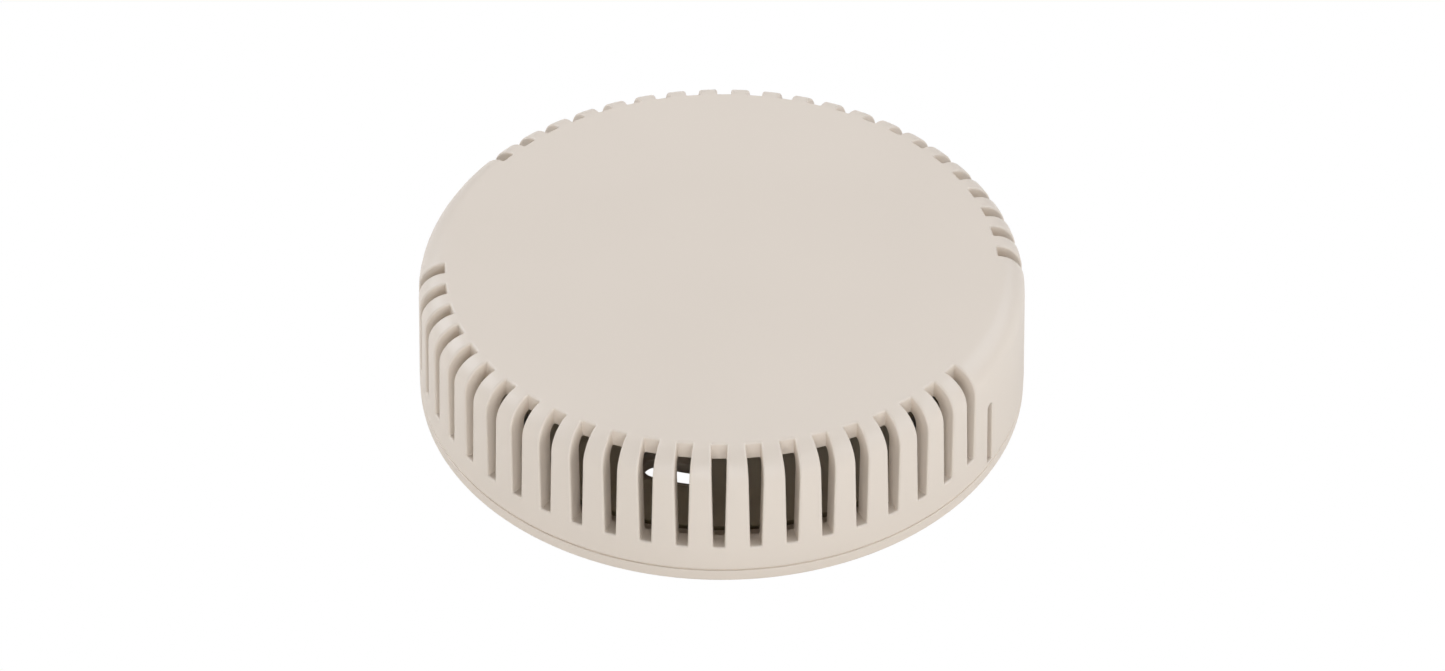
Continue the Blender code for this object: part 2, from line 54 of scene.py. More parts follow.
# Name: azimuth from the front, elevation, watts
SOFTBOXES = {
    "front_softbox": (0, 12, 8.6),
    "left_softbox": (-60, 35, 2.2),
    "right_softbox": (60, 35, 5.7),
    "back_right_softbox": (120, 35, 6.6),
    "back_left_softbox": (-120, 35, 10.2),
    "back_softbox": (180, 35, 1.8),
}
TABLE_BOUNCE = "#f4f2ee"

# Board finish
WEAVE_PITCH = 0.6 * MM
PLY_THICKNESS = 0.2 * MM
RESIST_COLOURS = ("#bdb19a", "#c5b9a2")

# The case, from the imported CAD parts
CASE_LOW, CASE_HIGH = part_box("cover")
CASE_RADIUS = CASE_HIGH.x
CASE_TOP = CASE_HIGH.z
COVER_FOOT = CASE_LOW.z
BASE_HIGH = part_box("base_plate")[1]

# Cover: a drafted wall, a round corner and a lattice of slots
WALL = 3.0 * MM
WALL_DRAFT = 0.7 * MM
CORNER = 5.0 * MM
SHOULDER = CASE_TOP - CORNER
CORNER_CENTRE = CASE_RADIUS - WALL_DRAFT - CORNER
CORNER_STEPS = 8
OUTER_FIRST_TURN = 15
INNER_FIRST_TURN = 30
FOOT_ROUND = 0.25 * MM
PLACES = 54
PITCH = 2 * math.pi / PLACES
FIRST_SLOT = math.radians(182.83)
HALF_CASE = PLACES // 2
SLOTS_IN_GROUP = 22
SLOT_SILL = 6.9 * MM
SLOT_END = 44.85 * MM
SLOT_WIDTH_AT_SILL = 1.75 * MM
SLOT_WIDTH_AT_TOP = 2.45 * MM
SLOT_CORNER = 0.2 * MM
SLOT_EDGE_ROUND = 0.36 * MM
RELEASE_WIDTH = 1.5 * MM
RELEASE_FOOT = 3.0 * MM
RELEASE_TOP = 15.0 * MM
RELEASE_END_ROUND = 0.7 * MM
RELEASE_EDGE_ROUND = 0.2 * MM

# Base
FLOOR = 2.0 * MM
SEAM_HEIGHT = 2.15 * MM
BASE_SIDES = 216
BASE_EDGE = 0.45 * MM
FLANGE_ROUND = 0.15 * MM
HOLE_ROUND = 0.25 * MM
LAND_RADIUS = 49.7 * MM
LAND_CLEARANCE = 0.06 * MM
SPIGOT_OUTER = 46.3 * MM
SPIGOT_INNER = 44.6 * MM
SPIGOT_ROUND = 0.3 * MM
FIXING_RADIUS = 27.9 * MM
FIXING_WIDTH = 4.2 * MM
FIXING_SPAN = 13.5
FIXING_ANGLES = (254.8, 74.8)
CABLE_SIZE = (18.0 * MM, 12.0 * MM)
CABLE_CENTRE = Vector((0, -1.0 * MM))
CABLE_CORNER = 3.0 * MM
POST_RADIUS = 3.2 * MM
PILOT_RADIUS = 1.25 * MM
POST_RADIAL_PLACE = 38.5 * MM
POST_ANGLES = (90, 210, 330)

# Circuit board and its small parts. Lengths without MM, here and in the tables, are in
# millimetres, and are scaled where the shape is made.
BOARD_RADIUS = 43.5 * MM
BOARD_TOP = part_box("circuit_board")[1].z
WINDOW_SIZE = (11.4 * MM, 11.2 * MM)
WINDOW_RADIUS = 28.7 * MM
TRACK_HEIGHT = 0.04 * MM
CELL_RADIUS = 7.4
# Width, and the points of the route
TRACKS = (
    (0.9, ((-7.6, 14.4), (-7.6, 15.6), (-9.4, 17.4))),
    (0.9, ((-2.5, 14.4), (-2.5, 17.0), (-5.0, 19.5))),
    (0.9, ((2.5, 14.4), (2.5, 16.5), (6.0, 20.0), (13.0, 20.0), (15.6, 17.4))),
    (0.9, ((7.6, 14.4), (7.6, 15.4), (9.0, 16.8), (14.0, 16.8))),
    (0.9, ((22.4, 17.0), (23.6, 17.0))),
    (0.5, ((-22.5, -4.9), (-26.0, -4.9), (-28.0, -6.0))),
    (0.3, ((-22.5, -2.5), (-25.0, -2.5), (-27.5, 0.0))),
    (0.3, ((-13.5, -2.5), (-12.6, -2.0))),
    (0.3, ((-10.4, -2.0), (-9.8, -2.0), (-9.8, 12.0), (-11.0, 13.2), (-11.0, 16.0))),
    (0.3, ((-13.5, -4.1), (-12.6, -4.2))),
    (0.3, ((-10.4, -4.2), (-10.0, -4.4), (-10.0, -8.0), (-5.6, -12.0))),
    (0.3, ((-15.2, -9.2), (-15.2, -11.4))),
    (0.3, ((-16.8, -9.2), (-16.8, -11.4))),
    (0.3, ((-18.4, -9.2), (-18.4, -11.0), (-24.0, -13.8))),
    (0.3, ((-20.0, -9.2), (-20.0, -10.0), (-25.5, -12.8))),
    (0.3, ((-17.6, 0.2), (-17.6, 3.0), (-19.6, 5.0))),
    (0.3, ((-19.2, 0.2), (-19.2, 2.0), (-21.0, 3.8))),
    (0.3, ((15.1, 2.4), (16.4, 2.4), (18.0, 3.0))),
    (0.3, ((12.9, 0.2), (12.0, 0.2), (11.0, -1.0), (11.0, -9.0), (12.0, -10.0))),
    (0.3, ((15.1, -2.0), (18.5, -2.0), (21.5, -5.0), (21.5, -8.4))),
    (0.3, ((-1.5, -11.4), (-1.5, -9.6), (-3.5, -8.6), (-8.8, -8.6))),
    (0.3, ((1.0, -11.4), (1.0, -9.0), (0.0, -8.2), (-8.6, -8.2))),
)
# Node, and how far outside it the printed line runs
PRINTED_BOXES = {
    "terminal_block": 0.6,
    "relay": 0.6,
    "address_switch": 1.4,
    "zero_trimmer_body": 0.7,
    "span_trimmer_body": 0.7,
    "test_switch_body": 1.4,
    "microcontroller": 1.5,
}
PRINTED_CIRCLES = {"cell_can": 0.8, "sounder": 0.7, "capacitor_1": 0.6, "capacitor_2": 0.6}
# Place of each two-ended part, and whether it lies along Y
RESISTORS = (
    (-11.5, -2.0, False),
    (-11.5, -4.2, False),
    (-11.5, -6.4, False),
    (-24.0, -10.0, True),
    (14.0, -2.0, False),
    (14.0, 0.2, False),
    (14.0, 2.4, False),
    (1.2, 18.6, True),
    (30.5, -14.0, True),
    (-31.5, -14.5, True),
)
CERAMICS = (
    (-24.2, -0.6, False),
    (-14.0, 2.0, True),
    (-11.8, 2.0, True),
    (14.0, 4.6, False),
    (-33.5, -11.0, False),
    (28.5, -14.0, True),
    (-1.0, 18.6, True),
)
# A leg's run from its package: distance out and height above the board, in millimetres
LEG_RUN = ((-0.1, 0.75), (0.3, 0.75), (0.55, 0.12), (1.0, 0.12))
LEG_THICKNESS = 0.13 * MM
X_SIDES = ((1, 0), (-1, 0))
Y_SIDES = ((0, 1), (0, -1))
# Node, the sides its legs are on, legs to a side, their pitch and their width
LEADED = (
    ("microcontroller", X_SIDES + Y_SIDES, 8, 0.8, 0.35),
    ("regulator", ((0, -1),), 3, 2.3, 0.75),
    ("regulator", ((0, 1),), 1, 1.0, 3.0),
    ("address_switch", Y_SIDES, 4, 2.54, 0.9),
    ("test_switch_body", X_SIDES, 2, 4.5, 0.8),
)
# Node: body, material slot, material and edge radius in millimetres
SOFTENED = {
    "terminal_block": ("base", "terminal_green", "green", 0.12),
    "relay": ("base", "black_plastic", "black", 0.1),
    "microcontroller": ("base", "black_plastic", "epoxy", 0.06),
    "regulator": ("base", "black_plastic", "epoxy", 0.06),
    "address_switch": ("base", "switch_red", "red", 0.08),
    "zero_trimmer_body": ("base", "trimmer_blue", "blue", 0.1),
    "span_trimmer_body": ("base", "trimmer_blue", "blue", 0.1),
    "zero_trimmer_rotor": ("zero_trimmer_rotor", "white_plastic", "white", 0.08),
    "span_trimmer_rotor": ("span_trimmer_rotor", "white_plastic", "white", 0.08),
    "test_switch_body": ("base", "zinc_steel", "zinc", 0.1),
}
for number in (1, 2, 3, 4):
    for part, slot, finish, edge in (
        ("address_slider", "white_plastic", "white", 0.06),
        ("terminal_screw", "zinc_steel", "zinc", 0.06),
        ("terminal_clamp", "terminal_brass", "brass", 0.06),
    ):
        SOFTENED[f"{part}_{number}"] = (f"{part}_{number}", slot, finish, edge)
for number in (1, 2, 3):
    SOFTENED[f"board_screw_{number}"] = ("base", "zinc_steel", "zinc", 0.06)


def linear(hex_colour):
    """An sRGB hex colour as linear red, green, blue and alpha."""
    channels = [int(hex_colour[i : i + 2], 16) / 255 for i in (1, 3, 5)]
    return (*[c / 12.92 if c <= 0.04045 else ((c + 0.055) / 1.055) ** 2.4 for c in channels], 1)


def node(tree, kind, inputs=None, **settings):
    """Adds a node. Each input is given a value, or the output socket that feeds it."""
    made = tree.nodes.new(kind)
    for setting, value in settings.items():
        setattr(made, setting, value)
    for key, value in (inputs or {}).items():
        if isinstance(value, bpy.types.NodeSocket):
            tree.links.new(value, made.inputs[key])
        else:
            made.inputs[key].default_value = value
    return made


def new_material(name):
    """An empty material and its empty node tree."""
    made = bpy.data.materials.new(name)
    made.use_nodes = True
    made.node_tree.nodes.clear()
    return made, made.node_tree


def grained(name, dark, light, patch, grain, depth, gloss, **shader_inputs):
    """A surface whose shade drifts between two colours over patches, and whose relief and
    gloss follow a finer grain. The two sizes and the relief's depth are lengths."""
    made, tree = new_material(name)
    place = node(tree, "ShaderNodeTexCoord").outputs["Object"]
    drift = node(tree, "ShaderNodeTexNoise", {"Vector": place, "Scale": 1 / patch, "Detail": 2.0})
    shade = node(tree, "ShaderNodeValToRGB", {"Fac": drift.outputs["Fac"]})
    low, high = shade.color_ramp.elements
    low.position, high.position = 0.35, 0.65
    low.color, high.color = linear(dark), linear(light)
    fine = node(tree, "ShaderNodeTexNoise", {"Vector": place, "Scale": 1 / grain, "Detail": 3.0})
    relief_inputs = {"Height": fine.outputs["Fac"], "Strength": 0.3, "Distance": depth}
    relief = node(tree, "ShaderNodeBump", relief_inputs)
    range_inputs = {"Value": fine.outputs["Fac"], "To Min": gloss[0], "To Max": gloss[1]}
    dull = node(tree, "ShaderNodeMapRange", range_inputs)
    inputs = {
        "Base Color": shade.outputs["Color"],
        "Roughness": dull.outputs["Result"],
        "Normal": relief.outputs["Normal"],
    }
    inputs.update({key.replace("_", " "): value for key, value in shader_inputs.items()})
    shader = node(tree, "ShaderNodeBsdfPrincipled", inputs)
    node(tree, "ShaderNodeOutputMaterial", {"Surface": shader.outputs["BSDF"]})
    return made


def moulded_abs():
    """Moulded ABS in warm off-white: satin, with the fine even grain of a spark-eroded
    mould, and a faint drift of shade where the melt flowed."""
    colours = ("#dccfbf", "#ded1c1")
    return grained("moulded_abs", *colours, 45 * MM, 0.3 * MM, 0.02 * MM, (0.36, 0.48), IOR=1.5)


def black_abs():
    """Black moulded plastic of the relay, the sounder and the cell's can: dark grey where
    it catches light, with a soft mould grain."""
    colours = ("#141414", "#1b1b1a")
    return grained("black_abs", *colours, 6 * MM, 0.25 * MM, 0.02 * MM, (0.38, 0.5))


def chip_epoxy():
    """Transfer-moulded epoxy of chip packages: near black, dry and matt, with grit."""
    colours = ("#1d1d1e", "#252525")
    return grained("chip_epoxy", *colours, 2 * MM, 0.12 * MM, 0.015 * MM, (0.55, 0.7))


def green_polyamide():
    """Glass-filled green polyamide: satin, with a slightly cloudy colour from the fibres."""
    colours = ("#1c6b3f", "#237a4a")
    return grained("green_polyamide", *colours, 3 * MM, 0.3 * MM, 0.02 * MM, (0.35, 0.5))


def red_polyester():
    """Red moulded polyester of the address switch: clean and semi-gloss."""
    colours = ("#a3211d", "#ad2721")
    return grained("red_polyester", *colours, 4 * MM, 0.3 * MM, 0.01 * MM, (0.28, 0.36))


def blue_polyester():
    """Blue moulded polyester of the trimmers: clean and semi-gloss."""
    colours = ("#2a5f9e", "#3068a8")
    return grained("blue_polyester", *colours, 4 * MM, 0.3 * MM, 0.01 * MM, (0.28, 0.36))


def white_nylon():
    """Natural white nylon of small moving parts and the cell's cap: waxy, a little
    translucent, so its shade is warm and soft."""
    colours = ("#dcd9d0", "#e6e3da")
    return grained("white_nylon", *colours, 5 * MM, 0.3 * MM, 0.01 * MM, (0.3, 0.42))


def filter_membrane():
    """Expanded PTFE membrane: chalk white, quite matt, with a felted surface."""
    colours = ("#e4e3df", "#f1f0ed")
    return grained("ptfe_membrane", *colours, 0.7 * MM, 0.15 * MM, 0.06 * MM, (0.8, 0.95))


def capacitor_sleeve():
    """Shrunk plastic sleeve: dark blue, glossy, with faint ripples from shrinking."""
    colours = ("#14182e", "#191e38")
    return grained("shrink_sleeve", *colours, 3 * MM, 0.9 * MM, 0.03 * MM, (0.18, 0.28))


def sleeve_print():
    """The light grey band printed down a capacitor's sleeve on its negative side."""
    colours = ("#a9abb0", "#b4b6ba")
    return grained("sleeve_print", *colours, 3 * MM, 0.9 * MM, 0.03 * MM, (0.25, 0.35))


def tinted_epoxy():
    """Cast tinted epoxy of the lamp: glossy, clear enough for light to pass into it."""
    colours = ("#3f9a55", "#4aa861")
    settings = {"Transmission_Weight": 0.55, "IOR": 1.53}
    return grained("tinted_epoxy", *colours, 2 * MM, 0.6 * MM, 0.004 * MM, (0.06, 0.1), **settings)


def zinc_plate():
    """Bright zinc plating on steel: a bluish grey metal, lightly clouded by the bath."""
    colours = ("#b4b8bb", "#c6c9ca")
    return grained("zinc_plate", *colours, 1.2 * MM, 0.2 * MM, 0.01 * MM, (0.22, 0.36), Metallic=1.0)


def stamped_brass():
    """Stamped brass of the wire cages: warm yellow metal, dulled by handling."""
    colours = ("#c79d52", "#d6b066")
    return grained("stamped_brass", *colours, 1.5 * MM, 0.2 * MM, 0.01 * MM, (0.25, 0.4), Metallic=1.0)


def gold_flash():
    """A thin gold flash on the cell's pins: deeper yellow and brighter than brass."""
    colours = ("#d8a944", "#e0b552")
    return grained("gold_flash", *colours, 1 * MM, 0.2 * MM, 0.005 * MM, (0.18, 0.26), Metallic=1.0)


def tinned_copper():
    """Tinned leads and pads: a soft white metal with the uneven skin of reflowed solder."""
    colours = ("#b9babb", "#d0d0cf")
    return grained("tinned_copper", *colours, 0.5 * MM, 0.3 * MM, 0.03 * MM, (0.22, 0.42), Metallic=1.0)


def drawn_aluminium():
    """The drawn aluminium end of a capacitor's can: pale satin metal."""
    colours = ("#c9cbcd", "#d5d6d8")
    return grained("drawn_aluminium", *colours, 1 * MM, 0.15 * MM, 0.01 * MM, (0.3, 0.42), Metallic=1.0)


def ceramic_body():
    """Fired ceramic of chip capacitors: tan, fine and slightly glossy."""
    colours = ("#9a7d5d", "#a98b69")
    return grained("fired_ceramic", *colours, 0.6 * MM, 0.1 * MM, 0.006 * MM, (0.3, 0.42))


def print_ink():
    """Screen-printed epoxy ink: off-white and thin, with a broken edge to its shade."""
    colours = ("#cfccc0", "#dbd8cd")
    return grained("print_ink", *colours, 0.6 * MM, 0.15 * MM, 0.01 * MM, (0.5, 0.65))


def solder_resist():
    """Matt tan-olive solder resist over woven glass: the weave's 0.6 mm pitch shows as a
    faint dimpling under the coat."""
    made, tree = new_material("solder_resist")
    place = node(tree, "ShaderNodeTexCoord").outputs["Object"]
    weave = {"Vector": place, "Scale": 2 * math.pi / (20 * WEAVE_PITCH), "Distortion": 0.4}
    across = node(tree, "ShaderNodeTexWave", weave, bands_direction="X")
    along = node(tree, "ShaderNodeTexWave", weave, bands_direction="Y")
    cloth = node(
        tree,
        "ShaderNodeMath",
        {0: across.outputs["Fac"], 1: along.outputs["Fac"]},
        operation="MULTIPLY",
    )
    drift = node(tree, "ShaderNodeTexNoise", {"Vector": place, "Scale": 1 / (9 * MM)})
    shade = node(tree, "ShaderNodeValToRGB", {"Fac": drift.outputs["Fac"]})
    low, high = shade.color_ramp.elements
    low.position, high.position = 0.3, 0.7
    low.color, high.color = linear(RESIST_COLOURS[0]), linear(RESIST_COLOURS[1])
    relief = node(
        tree,
        "ShaderNodeBump",
        {"Height": cloth.outputs["Value"], "Strength": 0.25, "Distance": 0.02 * MM},
    )
    shader = node(
        tree,
        "ShaderNodeBsdfPrincipled",
        {
            "Base Color": shade.outputs["Color"],
            "Roughness": 0.55,
            "Normal": relief.outputs["Normal"],
        },
    )
    node(tree, "ShaderNodeOutputMaterial", {"Surface": shader.outputs["BSDF"]})
    return made


def laminate_edge():
    """The routed edge of glass-epoxy laminate: straw yellow plies, rough from the cutter."""
    made, tree = new_material("laminate_edge")
    place = node(tree, "ShaderNodeTexCoord").outputs["Object"]
    scale = 2 * math.pi / (20 * PLY_THICKNESS)
    plies = node(
        tree,
        "ShaderNodeTexWave",
        {"Vector": place, "Scale": scale, "Distortion": 1.5, "Detail": 2.0},
        bands_direction="Z",
    )
    shade = node(tree, "ShaderNodeValToRGB", {"Fac": plies.outputs["Fac"]})
    low, high = shade.color_ramp.elements
    low.color, high.color = linear("#9c9070"), linear("#b5a988")
    relief = node(
        tree,
        "ShaderNodeBump",
        {"Height": plies.outputs["Fac"], "Strength": 0.4, "Distance": 0.03 * MM},
    )
    shader = node(
        tree,
        "ShaderNodeBsdfPrincipled",
        {
            "Base Color": shade.outputs["Color"],
            "Roughness": 0.7,
            "Normal": relief.outputs["Normal"],
        },
    )
    node(tree, "ShaderNodeOutputMaterial", {"Surface": shader.outputs["BSDF"]})
    return made


def white_table():
    """Matt white paper that bounces light as paper does and shows as an even white."""
    made, tree = new_material("white_table")
    paper = node(tree, "ShaderNodeBsdfDiffuse", {"Color": linear(TABLE_BOUNCE)})
    even = node(tree, "ShaderNodeEmission", {"Color": linear("#ffffff"), "Strength": 1.0})
    seen = node(tree, "ShaderNodeLightPath").outputs["Is Camera Ray"]
    mixed = node(tree, "ShaderNodeMixShader", {0: seen, 1: paper.outputs[0], 2: even.outputs[0]})
    node(tree, "ShaderNodeOutputMaterial", {"Surface": mixed.outputs[0]})
    return made


def arc(centre, radius, start, end, steps):
    """Points on an arc, from one angle to another in degrees."""
    angles = [math.radians(start + (end - start) * i / steps) for i in range(steps + 1)]
    return [
        (centre[0] + radius * math.cos(a), centre[1] + radius * math.sin(a)) for a in angles
    ]


def bevel(shape, edges, width, steps):
    bmesh.ops.bevel(
        shape,
        geom=edges,
        offset=width,
        offset_type="OFFSET",
        affect="EDGES",
        segments=steps,
        profile=0.5,
        material=-1,
        loop_slide=True,
        clamp_overlap=False,
    )


def spun(profile, steps, angle=2 * math.pi, start=0.0):
    """A bmesh with an open (radius, height) profile spun round Z."""
    shape = bmesh.new()
    points = [shape.verts.new((radius, 0, height)) for radius, height in profile]
    edges = [shape.edges.new(pair) for pair in zip(points, points[1:])]
    bmesh.ops.rotate(shape, verts=points, matrix=Matrix.Rotation(start, 3, "Z"))
    full = abs(angle - 2 * math.pi) < 1e-6
    bmesh.ops.spin(
        shape,
        geom=points + edges,
        cent=(0, 0, 0),
        axis=(0, 0, 1),
        angle=angle,
        steps=steps,
        use_merge=full,
    )
    return shape


def piece(shape, name, body, material, replaced=(), sharp=40):
    """Makes a finished piece of a bmesh: faces out, smooth, riding on its body."""
    bmesh.ops.remove_doubles(shape, verts=shape.verts, dist=0.0005 * MM)
    bmesh.ops.recalc_face_normals(shape, faces=shape.faces)
    mesh = bpy.data.meshes.new(name)
    shape.to_mesh(mesh)
    shape.free()
    mesh.shade_smooth()
    mesh.set_sharp_from_angle(angle=math.radians(sharp))
    for each in material if isinstance(material, (list, tuple)) else [material]:
        mesh.materials.append(each)
    made = bpy.data.objects.new(name, mesh)
    bpy.context.scene.collection.objects.link(made)
    weighted = made.modifiers.new("even_shading", "WEIGHTED_NORMAL")
    weighted.keep_sharp = True
    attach(made, body)
    if replaced:
        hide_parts(*replaced)
    return made


def cover_profile():
    """The cover's section, out along the top, down the wall and back along the inside."""
    centre = (CORNER_CENTRE, SHOULDER)
    flat = [0, 15 * MM, 30 * MM, 39 * MM, CORNER_CENTRE]
    outside = [(radius, CASE_TOP) for radius in flat]
    outside += arc(centre, CORNER, 90 - OUTER_FIRST_TURN, 0, CORNER_STEPS)
    foot_centre = (CASE_RADIUS - FOOT_ROUND, COVER_FOOT + FOOT_ROUND)
    outside += arc(foot_centre, FOOT_ROUND, 0, -90, 3)
    inside = [(radius, CASE_TOP - WALL) for radius in flat]
    inside += arc(centre, CORNER - WALL, 90 - INNER_FIRST_TURN, 0, CORNER_STEPS)
    inside.append((CASE_RADIUS - WALL, COVER_FOOT))
    return outside + inside[::-1]


def split(shape, point, normal, chosen):
    """Splits the chosen faces along a plane."""
    faces = [face for face in shape.faces if chosen(face.calc_center_median())]
    edges = {edge for face in faces for edge in face.edges}
    verts = {vert for face in faces for vert in face.verts}
    whole = [*faces, *edges, *verts]
    bmesh.ops.bisect_plane(shape, geom=whole, dist=1e-8, plane_co=point, plane_no=normal)


def on_outside(point):
    """Whether a point of the cover's wall lies nearer its outer face."""
    out = max(math.hypot(point.x, point.y) - CORNER_CENTRE, 0)
    up = max(point.z - SHOULDER, 0)
    return math.hypot(out, up) > CORNER - WALL / 2


def open_slot(shape, inside_slot, on_side, corners, edge_round):
    """Takes the faces out of a slot, joins its outer and inner outlines with walls, and
    rounds its corners and its outer edge."""
    doomed = [face for face in shape.faces if inside_slot(face.calc_center_median())]
    bmesh.ops.delete(shape, geom=doomed, context="FACES")
    rim = [
        edge
        for edge in shape.edges
        if edge.is_boundary and all(abs(v.co.y) < 1.6 * MM and v.co.x > 44 * MM for v in edge.verts)
    ]
    tag = shape.faces.layers.int.new("slot_wall")
    for face in bmesh.ops.bridge_loops(shape, edges=rim)["faces"]:
        face[tag] = 1
    spare = [
        edge
        for edge in shape.edges
        if all(on_side(v.co) for v in edge.verts) and not any(f[tag] for f in edge.link_faces)
    ]
    bmesh.ops.dissolve_edges(shape, edges=spare, use_verts=True)
    for at_corner, width, steps in corners:
        found = [
            edge
            for edge in shape.edges
            if all(at_corner(v.co) for v in edge.verts) and all(f[tag] for f in edge.link_faces)
        ]
        bevel(shape, found, width, steps)
    outline = [
        edge
        for edge in shape.edges
        if len({face[tag] for face in edge.link_faces}) == 2
        and all(on_outside(v.co) for v in edge.verts)
    ]
    bevel(shape, outline, edge_round, 3)


def plain_sector():
    return spun(cover_profile(), 2, PITCH, -PITCH / 2)


def vent_sector():
    """One place of the lattice with a vent slot that runs over the corner."""
    shape = plain_sector()
    half_sill = SLOT_WIDTH_AT_SILL / 2
    slope = (SLOT_WIDTH_AT_TOP - SLOT_WIDTH_AT_SILL) / 2 / (CASE_TOP - SLOT_SILL)

    def in_band(point):
        return point.x > CORNER_CENTRE + 0.2 * MM and point.z > COVER_FOOT + MM

    def half_width(point):
        return half_sill + slope * (point.z - SLOT_SILL)

    def in_strip(point):
        return in_band(point) and abs(point.y) < half_width(point)

    def on_side(point):
        return abs(abs(point.y) - half_width(point)) < NEAR and point.x > CORNER_CENTRE - MM

    for side in (-1, 1):
        split(shape, (0, side * half_sill, SLOT_SILL), (0, side, -slope), in_band)
    split(shape, (0, 0, SLOT_SILL), (0, 0, 1), in_strip)
    split(shape, (SLOT_END, 0, 0), (1, 0, 0), in_strip)
    open_slot(
        shape,
        lambda point: in_strip(point) and point.z > SLOT_SILL and point.x > SLOT_END,
        on_side,
        (
            (lambda p: on_side(p) and abs(p.x - SLOT_END) < NEAR, SLOT_CORNER, 2),
            (lambda p: on_side(p) and abs(p.z - SLOT_SILL) < NEAR, SLOT_CORNER, 2),
        ),
        SLOT_EDGE_ROUND,
    )
    return shape


def release_sector():
    """One place of the lattice with the short slot that frees the cover."""
    shape = plain_sector()
    half = RELEASE_WIDTH / 2

    def on_wall(point):
        return point.x > CASE_RADIUS - 1.5 * WALL and COVER_FOOT + FOOT_ROUND < point.z < SHOULDER

    def in_strip(point):
        return on_wall(point) and abs(point.y) < half

    def on_side(point):
        return abs(abs(point.y) - half) < NEAR and point.x > CORNER_CENTRE

    for side in (-1, 1):
        split(shape, (0, side * half, 0), (0, side, 0), on_wall)
    for height in (RELEASE_FOOT, RELEASE_TOP):
        split(shape, (0, 0, height), (0, 0, 1), in_strip)
    open_slot(
        shape,
        lambda point: in_strip(point) and RELEASE_FOOT < point.z < RELEASE_TOP,
        on_side,
        ((lambda p: on_side(p) and abs(p.z - RELEASE_TOP) < NEAR, RELEASE_END_ROUND, 5),),
        RELEASE_EDGE_ROUND,
    )
    return shape


def kept(shape, name):
    """A scratch mesh of a bmesh, to be copied."""
    mesh = bpy.data.meshes.new(name)
    shape.to_mesh(mesh)
    shape.free()
    return mesh


def make_cover(plastic):
    """The whole lid, from a vent, a release or a plain sector at each place."""
    vent = kept(vent_sector(), "vent_sector")
    release = kept(release_sector(), "release_sector")
    plain = kept(plain_sector(), "plain_sector")
    whole = bmesh.new()
    for place in range(PLACES):
        number = place % HALF_CASE
        sector = plain
        if number < SLOTS_IN_GROUP:
            sector = vent
        elif number == SLOTS_IN_GROUP:
            sector = release
        known = len(whole.verts)
        whole.from_mesh(sector)
        whole.verts.ensure_lookup_table()
        turn = Matrix.Rotation(FIRST_SLOT + place * PITCH, 4, "Z")
        bmesh.ops.transform(whole, verts=whole.verts[known:], matrix=turn)
    for sector in (vent, release, plain):
        bpy.data.meshes.remove(sector)
    return piece(whole, "cover_moulding", "cover", plastic, ["cover"])


def outline_edges(shape, outline, height):
    """Adds a closed outline at a height."""
    points = [shape.verts.new((x, y, height)) for x, y in outline]
    return [shape.edges.new(pair) for pair in zip(points, points[1:] + points[:1])]


def sheet(shape, outlines, height):
    """Fills the area between an outer outline and its holes with faces."""
    edges = [edge for outline in outlines for edge in outline_edges(shape, outline, height)]
    bmesh.ops.triangle_fill(shape, use_beauty=True, use_dissolve=False, edges=edges)


def curtain(shape, outline, low, high):
    """A wall that stands on an outline between two heights."""
    edges = outline_edges(shape, outline, low)
    raised = bmesh.ops.extrude_edge_only(shape, edges=edges)["geom"]
    verts = [item for item in raised if isinstance(item, bmesh.types.BMVert)]
    bmesh.ops.translate(shape, verts=verts, vec=(0, 0, high - low))


def circle(radius, steps, centre=(0, 0)):
    return arc(centre, radius, 0, 360, steps)[:-1]


def on_circle(radius, degrees):
    angle = math.radians(degrees)
    return Vector((radius * math.cos(angle), radius * math.sin(angle)))


def fixing_outline(angle, grow=0.0):
    """An arc-shaped slot about the case's centre, for a fixing screw."""
    half = FIXING_WIDTH / 2 + grow
    start, end = angle - FIXING_SPAN / 2, angle + FIXING_SPAN / 2
    far, near = on_circle(FIXING_RADIUS, end), on_circle(FIXING_RADIUS, start)
    outline = arc((0, 0), FIXING_RADIUS + half, start, end, 8)
    outline += arc(far, half, end, end + 180, 24)[1:-1]
    outline += arc((0, 0), FIXING_RADIUS - half, end, start, 8)
    return outline + arc(near, half, start + 180, start + 360, 24)[1:-1]


def rounded_rectangle(size, corner, centre=(0, 0), turn=0.0, steps=6):
    """The outline of a rectangle with round corners, turned about the case's centre."""
    x, y = size[0] / 2 - corner, size[1] / 2 - corner
    corners = ((x, y, 0), (-x, y, 90), (-x, -y, 180), (x, -y, 270))
    points = [
        Vector(point) + Vector(centre)
        for cx, cy, start in corners
        for point in arc((cx, cy), corner, start, start + 90, steps)
    ]
    spin = Matrix.Rotation(turn, 2)
    return [tuple(spin @ point) for point in points]


def lipped_wall(shape, outline_at, low, high, width):
    """The wall of an opening, with a quarter-round lip at each end. The outline is asked
    for at each distance that it has grown by."""
    quarter = arc((0, 0), width, 0, 90, 3)
    rows = [(width - x, low + width - y) for x, y in quarter[::-1]]
    rows += [(width - x, high - width + y) for x, y in quarter]
    rings = [
        [shape.verts.new((x, y, height)) for x, y in outline_at(grow)] for grow, height in rows
    ]
    for below, above in zip(rings, rings[1:]):
        join_rings(shape, below, above)


def cable_outline(grow=0.0):
    """The opening that the wiring comes through."""
    size = [side + 2 * grow for side in CABLE_SIZE]
    return rounded_rectangle(size, CABLE_CORNER + grow, CABLE_CENTRE)


